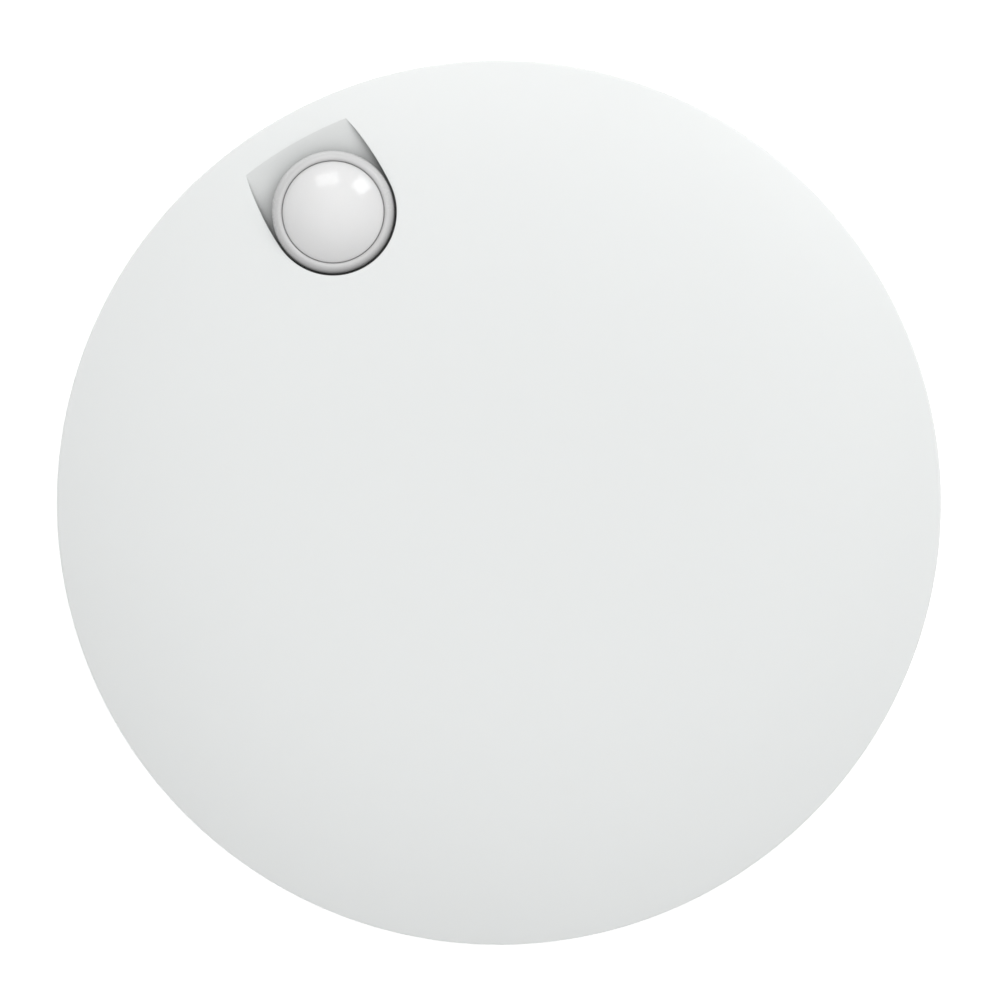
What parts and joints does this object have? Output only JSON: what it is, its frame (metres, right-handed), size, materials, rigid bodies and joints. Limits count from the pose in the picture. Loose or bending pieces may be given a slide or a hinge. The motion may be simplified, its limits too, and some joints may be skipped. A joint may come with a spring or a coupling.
{
  "type": "motion sensor ceiling light",
  "caption": "Round surface-mounted ceiling or wall light with a shallow domed opal cover and a motion sensor eye set in a D-shaped pocket near the rim.",
  "frame": {"origin": "centre of the mounting face at the back of the base pan", "axes": "+Z out of the mounting face towards the room, +Y towards the top of the light as it was pictured, +X to its right; the sensor eye is 120 degrees anticlockwise from +X"},
  "size_m": [0.33, 0.33, 0.0552],
  "materials": {
    "painted_steel": "satin white powder coat",
    "seal_foam": "closed-cell foam",
    "grommet_rubber": "matt black rubber",
    "spring_steel": "bright rolled spring steel",
    "zinc_steel": "bright zinc plate",
    "white_board": "white solder mask",
    "led_phosphor": "yellow phosphor gel",
    "clear_lens": "clear acrylic",
    "white_nylon": "natural white nylon",
    "ivory_nylon": "ivory nylon",
    "white_plastic": "fine-grained moulding",
    "green_board": "green solder mask",
    "ferrite_tape": "yellow winding tape",
    "capacitor_sleeve": "shrink sleeve",
    "tinned_brass": "bright brass",
    "brown_plastic": "glossy moulding",
    "blue_plastic": "glossy moulding",
    "green_yellow_plastic": "glossy moulding",
    "green_yellow_wire": "PVC insulation",
    "brown_wire": "PVC insulation",
    "blue_wire": "PVC insulation",
    "black_wire": "PVC insulation",
    "red_wire": "PVC insulation",
    "sensor_plastic": "satin white ABS",
    "collar_plastic": "semi-gloss white ABS",
    "milky_lens": "polished milky polyethylene",
    "nickel_can": "nickel-plated can",
    "dark_window": "dark infrared filter",
    "light_cell": "coated ceramic",
    "red_led": "clear red epoxy",
    "relay_blue": "glossy moulding",
    "gold_pins": "gold flash",
    "amber_plastic": "glossy moulding",
    "opal_cover": "semi-gloss opal polycarbonate"
  },
  "bodies": {
    "base": {"base_pan": "painted_steel", "rim_seal": "seal_foam", "cable_grommet": "grommet_rubber", "cover_clips": "spring_steel", "clip_rivets": "zinc_steel", "tray_standoffs": "zinc_steel", "gear_tray": "painted_steel", "tray_screws": "zinc_steel", "led_board": "white_board", "led_chips": "led_phosphor", "led_lenses": "clear_lens", "board_rivets": "white_nylon", "board_connector": "ivory_nylon", "driver_case": "white_plastic", "driver_lid": "white_plastic", "driver_board": "green_board", "driver_transformer": "ferrite_tape", "driver_capacitors": "capacitor_sleeve", "driver_screws": "zinc_steel", "terminal_body": "white_nylon", "terminal_clamps": "tinned_brass", "earth_stud": "zinc_steel", "earth_nut": "tinned_brass", "earth_lug": "tinned_brass", "wire_earth": "green_yellow_wire", "wire_live": "brown_wire", "wire_neutral": "blue_wire", "wire_switched": "black_wire", "wire_driver_neutral": "blue_wire", "led_leads": "red_wire", "wire_saddles": "white_nylon", "sensor_tub": "sensor_plastic", "sensor_lid": "sensor_plastic", "lid_screws": "zinc_steel", "tub_screws": "zinc_steel", "shoulder_gasket": "seal_foam", "lens_ring": "white_nylon", "pir_lens": "milky_lens", "head_board": "green_board", "pyro_can": "nickel_can", "pyro_window": "dark_window", "light_cell": "light_cell", "status_led": "red_led", "power_board": "green_board", "relay": "relay_blue", "supply_capacitor": "capacitor_sleeve", "sensor_socket": "ivory_nylon", "board_pins": "gold_pins", "adjuster_bodies": "white_nylon"},
    "cover": {"cover": "opal_cover", "lens_collar": "collar_plastic", "cover_gasket": "seal_foam"},
    "button_live": {"button_live": "brown_plastic"},
    "button_neutral": {"button_neutral": "blue_plastic"},
    "button_earth": {"button_earth": "green_yellow_plastic"},
    "knob_sensitivity": {"knob_sensitivity": "amber_plastic"},
    "knob_time": {"knob_time": "amber_plastic"},
    "knob_light": {"knob_light": "amber_plastic"}
  },
  "joints": [
    {"name": "cover_lift", "type": "slide", "parent": "base", "child": "cover", "axis": [0, 0, 1], "range_m": [0, 0.075], "deforming": ["cover_clips"]},
    {"name": "sensitivity_turn", "type": "hinge", "parent": "base", "child": "knob_sensitivity", "pos_m": [-0.08718, 0.07899, 0.024], "axis": [0, 0, 1], "range_deg": [-135, 135]},
    {"name": "time_turn", "type": "hinge", "parent": "base", "child": "knob_time", "pos_m": [-0.09305, 0.08917, 0.024], "axis": [0, 0, 1], "range_deg": [-135, 135]},
    {"name": "light_turn", "type": "hinge", "parent": "base", "child": "knob_light", "pos_m": [-0.09893, 0.09935, 0.024], "axis": [0, 0, 1], "range_deg": [-135, 135]},
    {"name": "live_release", "type": "slide", "parent": "base", "child": "button_live", "axis": [0, 0, -1], "range_m": [0, 0.0012], "stiffness_N_per_m": 600, "springref_m": -0.002},
    {"name": "neutral_release", "type": "slide", "parent": "base", "child": "button_neutral", "axis": [0, 0, -1], "range_m": [0, 0.0012], "stiffness_N_per_m": 600, "springref_m": -0.002},
    {"name": "earth_release", "type": "slide", "parent": "base", "child": "button_earth", "axis": [0, 0, -1], "range_m": [0, 0.0012], "stiffness_N_per_m": 600, "springref_m": -0.002}
  ]
}
